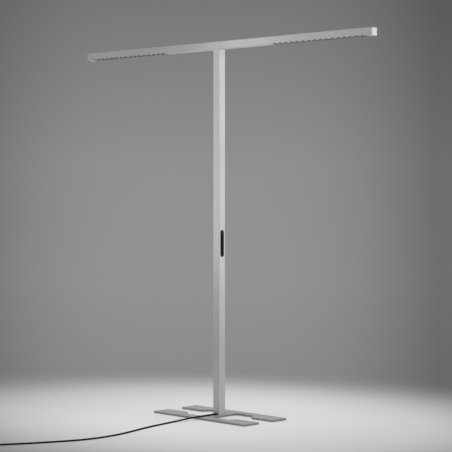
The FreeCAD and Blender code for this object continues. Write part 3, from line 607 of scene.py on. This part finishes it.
def leadPoints():
    start = coilPoint(0) - coilWay(0) * lead["diameter"]
    points = [Vector(point) for point in leadRoute]
    points += [start - coilWay(0) * lead["finalRun"], start]
    count = round(coilTurns * lead["pointsPerTurn"])
    points += [coilPoint(coilTurns * i / count) for i in range(count + 1)]
    return points + [plugStart]


def makeLead():
    points = leadPoints()
    curve = bpy.data.curves.new("black_mains_lead", "CURVE")
    curve.dimensions = "3D"
    spline = curve.splines.new("NURBS")
    spline.points.add(len(points) - 1)
    for target, point in zip(spline.points, points):
        target.co = (*point, 1)
    spline.order_u = 3
    spline.use_endpoint_u = True
    spline.resolution_u = 8
    curve.bevel_depth = lead["diameter"] / 2
    curve.bevel_resolution = 5
    curve.use_fill_caps = True
    piece = bpy.data.objects.new("black_mains_lead", curve)
    bpy.context.scene.collection.objects.link(piece)
    curve.materials.append(paints["lead_sheath"])
    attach(piece, "lamp")
    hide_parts("mains_lead", "lead_coil")
    return piece


gland = {
    "flange": 7 * mm, "flangeDepth": 2 * mm, "flangeLip": 0.4 * mm, "flangeEdge": 0.6 * mm,
    "neck": 5.4 * mm, "tip": 4.8 * mm, "tipEdge": 1 * mm, "tipDrop": 0.7 * mm, "length": 24 * mm,
    "inside": 2 * mm, "plainEnd": 3 * mm, "wall": -22 * mm, "seat": 10.1 * mm,
    "ribs": 6, "ribDepth": 0.5 * mm, "rib": ((0.1, 0), (0.2, 1), (0.55, 1), (0.65, 0)),
}


def makeGland():  # tapered sleeve with bending grooves
    look = gland
    bm = bmesh.new()
    neck, tip, flange, depth = look["neck"], look["tip"], look["flange"], look["flangeDepth"]
    profile = [(-look["inside"], 0), (-look["inside"], neck), (0, neck),
               (0, flange - look["flangeLip"]), (look["flangeLip"], flange),
               (depth - look["flangeEdge"], flange), (depth, flange - look["flangeEdge"]), (depth, neck)]
    start, end = depth + look["plainEnd"], look["length"] - look["plainEnd"]
    pitch = (end - start) / look["ribs"]
    for i in range(look["ribs"]):
        here = start + i * pitch
        radius = neck + (tip - neck) * here / look["length"]
        for offset, sink in look["rib"]:
            profile.append((here + offset * pitch, radius - sink * look["ribDepth"]))
    profile += [(look["length"] - look["tipEdge"], tip), (look["length"], tip - look["tipDrop"]),
                (look["length"], 0)]
    lathe(bm, profile, 40, aim((0, look["wall"], lead["exitHeight"]), (0, -1, 0)))
    everything = bm.verts[:] + bm.edges[:] + bm.faces[:]
    # the sleeve is cut flat below, just clear of the base plate
    cut = bmesh.ops.bisect_plane(bm, geom=everything, plane_co=(0, 0, look["seat"]),
                                 plane_no=(0, 0, -1), clear_outer=True)
    rim = [item for item in cut["geom_cut"] if isinstance(item, bmesh.types.BMEdge)]
    bmesh.ops.triangle_fill(bm, use_beauty=True, use_dissolve=True, edges=rim)
    return addPiece("lead_strain_relief", bm, "lamp", "black_rubber", ["lead_gland"], 35)


plug = {
    "radius": 19 * mm, "neck": 20 * mm, "neckStart": 5 * mm, "neckEnd": 7.6 * mm, "neckEdge": 0.5 * mm,
    "grip": 12 * mm, "skirt": 18 * mm, "bodyShare": 0.62, "bodyEdge": 1 * mm,
    "shoulder": ((4 * mm, 0.82), (1 * mm, 0.97)), "faceDepth": 2 * mm, "faceDrop": 1.5 * mm,
    "grooves": 5, "grooveStart": 2 * mm, "grooveDepth": 0.8 * mm,
    "groove": ((0.1, 0), (0.22, 1), (0.55, 1), (0.67, 0)),
    "notch": (0.017, 0.008, 0.004), "notchBack": 0.0075, "notchSink": 0.001,
    "pin": 2.4 * mm, "pinLength": 19 * mm, "pinSpacing": 19 * mm,
    "pinTip": ((1.5 * mm, 0), (0.4 * mm, 0.8 * mm), (0, 1 * mm)),
}


def makePlug():
    look = plug
    neck, radius, edge = look["neck"], look["radius"], look["neckEdge"]
    grip, skirt = neck + look["grip"], neck + look["grip"] + look["skirt"]
    bm = bmesh.new()
    profile = [(0, 0), (0, look["neckStart"] - edge), (edge, look["neckStart"])]
    pitch = (neck - 2 * look["grooveStart"]) / look["grooves"]
    for i in range(look["grooves"]):
        here = look["grooveStart"] + i * pitch
        outer = look["neckStart"] + (look["neckEnd"] - look["neckStart"]) * here / neck
        for offset, sink in look["groove"]:
            profile.append((here + offset * pitch, outer - sink * look["grooveDepth"]))
    body = look["bodyShare"] * radius
    profile += [(neck, look["neckEnd"]), (neck, body - look["bodyEdge"]), (neck + look["bodyEdge"], body)]
    profile += [(grip - before, share * radius) for before, share in look["shoulder"]]
    face = skirt + look["faceDepth"]
    profile += [(grip, radius), (skirt, radius), (face, radius - look["faceDrop"]), (face, 0)]
    lathe(bm, profile, 64, aim(plugStart, plugWay))
    return addPiece("mains_plug", bm, "lamp", "plug_plastic", ["plug_body"], 35), face


def cutAway(piece, cutters):  # subtracts temporary pieces and keeps the result as the piece's mesh
    for cutter in cutters:
        change = piece.modifiers.new("cut", "BOOLEAN")
        change.operation, change.solver, change.object = "DIFFERENCE", "EXACT", cutter
    solved = piece.evaluated_get(bpy.context.evaluated_depsgraph_get())
    mesh = bpy.data.meshes.new_from_object(solved)
    piece.modifiers.clear()
    piece.data = mesh
    mesh.shade_smooth()
    mesh.set_sharp_from_angle(angle=math.radians(35))
    for cutter in cutters:
        bpy.data.objects.remove(cutter)


def notchCutters(length):  # two blocks that cut the notches above and below
    cutters = []
    for side in (-1, 1):
        bm = bmesh.new()
        size = Matrix.Diagonal((*plug["notch"], 1))
        centre = (length - plug["notchBack"], 0, side * (plug["radius"] - plug["notchSink"]))
        place = aim(plugStart, plugWay) @ Matrix.Translation(centre)
        bmesh.ops.create_cube(bm, size=1, matrix=place @ size)
        mesh = bpy.data.meshes.new("notch")
        bm.to_mesh(mesh)
        bm.free()
        cutter = bpy.data.objects.new("notch", mesh)
        bpy.context.scene.collection.objects.link(cutter)
        cutters.append(cutter)
    return cutters


def makePins(length):
    look = plug
    bm = bmesh.new()
    side = Vector((-plugWay.y, plugWay.x, 0))
    pin, reach = look["pin"], look["pinLength"]
    profile = [(0, 0), (0, pin)]
    profile += [(reach - before, pin - drop) for before, drop in look["pinTip"]]
    profile.append((reach, 0))
    for offset in (-0.5, 0.5):
        start = plugStart + plugWay * length + side * offset * look["pinSpacing"]
        lathe(bm, profile, 28, aim(start, plugWay))
    return addPiece("plug_contact_pins", bm, "lamp", "plug_metal", ["plug_pins"], 35)


leadPiece = makeLead()
reliefPiece = makeGland()
plugPiece, plugLength = makePlug()
cutAway(plugPiece, notchCutters(plugLength))
pinPiece = makePins(plugLength)


def lineLength(piece):  # length of the curve's own line
    bare = piece.data.copy()
    bare.bevel_depth = 0
    probe = bpy.data.objects.new("probe", bare)
    mesh = bpy.data.meshes.new_from_object(probe)
    ends = [[mesh.vertices[index].co for index in edge.vertices] for edge in mesh.edges]
    total = sum((first - second).length for first, second in ends)
    bpy.data.objects.remove(probe)
    bpy.data.meshes.remove(mesh)
    return total


print("lead measures", round(lineLength(leadPiece), 3), "m")
leadPoints()[0]
print("lead, plug and strain relief made")


# floor, backdrop, lamps and camera
# the floor colours paint a pool of light, pale round the lamp and darker further out
stage = {
    "radius": 4.5, "lengthScale": 1.5, "depthScale": 1.2, "pale": (0.68, 0.68, 0.68), "dark": (0.2, 0.2, 0.2),
    "roughness": 0.75, "paintedPool": (0.2, 1.7), "edge": (0.75, 1.7), "grainScale": 60, "grainShare": 0.04,
    # the sky keys paint light on the backdrop: brightest near the horizon and straight behind the lamp
    "sky": [(0.0, 0.24), (0.3, 0.29), (0.55, 0.28), (0.9, 0.187)], "horizon": 0.15,
    "skyCentre": -0.018, "skyFall": 1490, "skyLeast": 0.55, "fill": 0.2,
}


def floorFade(paint, far, limits):
    inputs = {"Value": far, "From Min": limits[0], "From Max": limits[1]}
    return paint.node("ShaderNodeMapRange", {"interpolation_type": "SMOOTHSTEP"}, inputs)


def makeFloor():  # painted pool of light: pale round the lamp, darker further out, and clear at the rim
    bm = bmesh.new()
    bmesh.ops.create_circle(bm, cap_ends=True, segments=96, radius=stage["radius"])
    mesh = bpy.data.meshes.new("floor")
    bm.to_mesh(mesh)
    bm.free()
    floor = bpy.data.objects.new("floor", mesh)
    bpy.context.scene.collection.objects.link(floor)
    paint = Paint("floor with painted light pool", Roughness=stage["roughness"])
    spread = (1 / stage["lengthScale"], 1 / stage["depthScale"], 1)
    distance = {0: paint.place(spread)}
    far = paint.node("ShaderNodeVectorMath", {"operation": "LENGTH"}, distance, output="Value")
    # painted pool of light: the floor's colour runs from pale near the lamp to dark further out
    paintedPool = floorFade(paint, far, stage["paintedPool"])
    grain = paint.noise(stage["grainScale"], 4)
    share = stage["grainShare"]
    paint.colour(paintedPool * (1 - share) + grain * share, stage["pale"], stage["dark"])
    clear = paint.node("ShaderNodeBsdfTransparent")
    edge = floorFade(paint, far, stage["edge"])
    solid = Wire(paint, paint.shader.outputs[0])
    mixed = paint.node("ShaderNodeMixShader", None, {0: edge, 1: solid, 2: clear})
    paint.join(paint.tree.nodes["Material Output"].inputs["Surface"], mixed)
    mesh.materials.append(paint.material)


lamps = {
    "left end strip": {"at": (-3.25, -1.57, 1.95), "aim": (-1.3, 0, 1.92), "wide": 0.4, "tall": 1.0,
        "watts": 2.6},
    "right arm strip": {"at": (-0.92, -2.31, 1.9), "aim": (1.0, 0, 1.92), "wide": 0.4, "tall": 1.0,
        "watts": 4.4},
    "right rear sheet": {"at": (3.0, 3.0, 1.7), "aim": (0, 0, 1.5), "wide": 1.3, "tall": 1.3,
        "watts": 8.4},
    "end cap sheet": {"at": (3.6, 3.1, 2.1), "aim": (1.04, 0, 1.92), "wide": 0.6, "tall": 0.6,
        "watts": 15.2},
    "low left sheet": {"at": (-2.2, -2.5, 0.7), "aim": (0, 0, 0.3), "wide": 0.8, "tall": 0.8,
        "watts": 4.1},
    "low right sheet": {"at": (3.0, 2.5, 0.7), "aim": (0, 0, 0.3), "wide": 0.8, "tall": 0.8,
        "watts": 12.1},
    "overhead sheet": {"at": (0.2, 0.1, 16.0), "aim": (0, 0, 0), "wide": 6.0, "tall": 6.0,
        "watts": 2005.5},
    "near front strip": {"at": (-0.71, -0.99, 1.65), "aim": (0.28, 0, 1.65), "wide": 0.2, "tall": 1.8,
        "watts": 3.5},
    "back sheet": {"at": (-2.8, 2.8, 1.5), "aim": (0, 0, 1.8), "wide": 2.6, "tall": 0.5,
        "watts": 11.4},
}


def makeLight(name, look):
    data = bpy.data.lights.new(name, "AREA")
    data.shape = "RECTANGLE"
    data.size, data.size_y = look["wide"], look["tall"]
    data.energy = look["watts"]
    light = bpy.data.objects.new(name, data)
    bpy.context.scene.collection.objects.link(light)
    light.location = look["at"]
    light.rotation_euler = (Vector(look["aim"]) - Vector(look["at"])).to_track_quat("-Z", "Y").to_euler()
    light.visible_camera = False


def makeWorld():  # soft grey backdrop to the eye and in gloss, with painted light: brightest near the horizon and straight behind the lamp; even fill to everything else
    world = bpy.data.worlds.new("studio")
    world.use_nodes = True
    world.node_tree.nodes.clear()
    nodes = Nodes(world.node_tree)
    way = nodes.node("ShaderNodeTexCoord", output="Generated")
    height = nodes.node("ShaderNodeSeparateXYZ", None, {0: way}, output="Z")
    # painted light: the ramp makes the backdrop brightest near the horizon and darker higher up
    limits = {"Value": height, "From Min": -stage["horizon"], "From Max": stage["horizon"]}
    level = nodes.node("ShaderNodeMapRange", None, limits)
    across = {0: way, 1: (math.sqrt(0.5), math.sqrt(0.5), 0)}
    side = nodes.node("ShaderNodeVectorMath", {"operation": "DOT_PRODUCT"}, across, output="Value")
    side = side - stage["skyCentre"]
    square = side * side
    # painted pool of light: the backdrop is brightest straight behind the lamp and dims to the sides
    paintedLightBand = (square * square * stage["skyFall"] + 1) ** -1
    strength = nodes.node("ShaderNodeMath", {"operation": "MAXIMUM"}, {0: paintedLightBand, 1: stage["skyLeast"]})
    backdrop = {"Color": nodes.ramp(level, stage["sky"]), "Strength": strength}
    seen = nodes.node("ShaderNodeBackground", None, backdrop)
    fill = nodes.node("ShaderNodeBackground", None, {"Color": (1, 1, 1, 1), "Strength": stage["fill"]})
    mask = nodes.node("ShaderNodeLightPath", output="Is Camera Ray")
    mask = mask + nodes.node("ShaderNodeLightPath", output="Is Glossy Ray")
    mask = mask + nodes.node("ShaderNodeLightPath", output="Is Transmission Ray")
    mixed = nodes.node("ShaderNodeMixShader", None, {0: 1 - mask, 1: seen, 2: fill})
    output = world.node_tree.nodes.new("ShaderNodeOutputWorld")
    nodes.join(output.inputs["Surface"], mixed)
    bpy.context.scene.world = world


camera = {
    "at": (5.6996, -5.6494, 1.1928), "turn": 45.0, "lens": 122.73, "sensor": 36, "shiftDown": 0.0856,
    "reach": 60,
}


def makeCamera():  # level, so that the mast stands upright in the picture
    data = bpy.data.cameras.new("camera")
    data.sensor_width = camera["sensor"]
    data.lens = camera["lens"]
    data.shift_y = -camera["shiftDown"]
    data.clip_end = camera["reach"]
    eye = bpy.data.objects.new("camera", data)
    bpy.context.scene.collection.objects.link(eye)
    eye.location = camera["at"]
    eye.rotation_euler = (math.radians(90), 0, math.radians(camera["turn"]))
    bpy.context.scene.camera = eye


makeFloor()
for lampName, lampLook in lamps.items():
    makeLight(lampName, lampLook)
makeWorld()
makeCamera()
bpy.context.scene.view_settings.view_transform = "Standard"
print("stage, lamps and camera set")
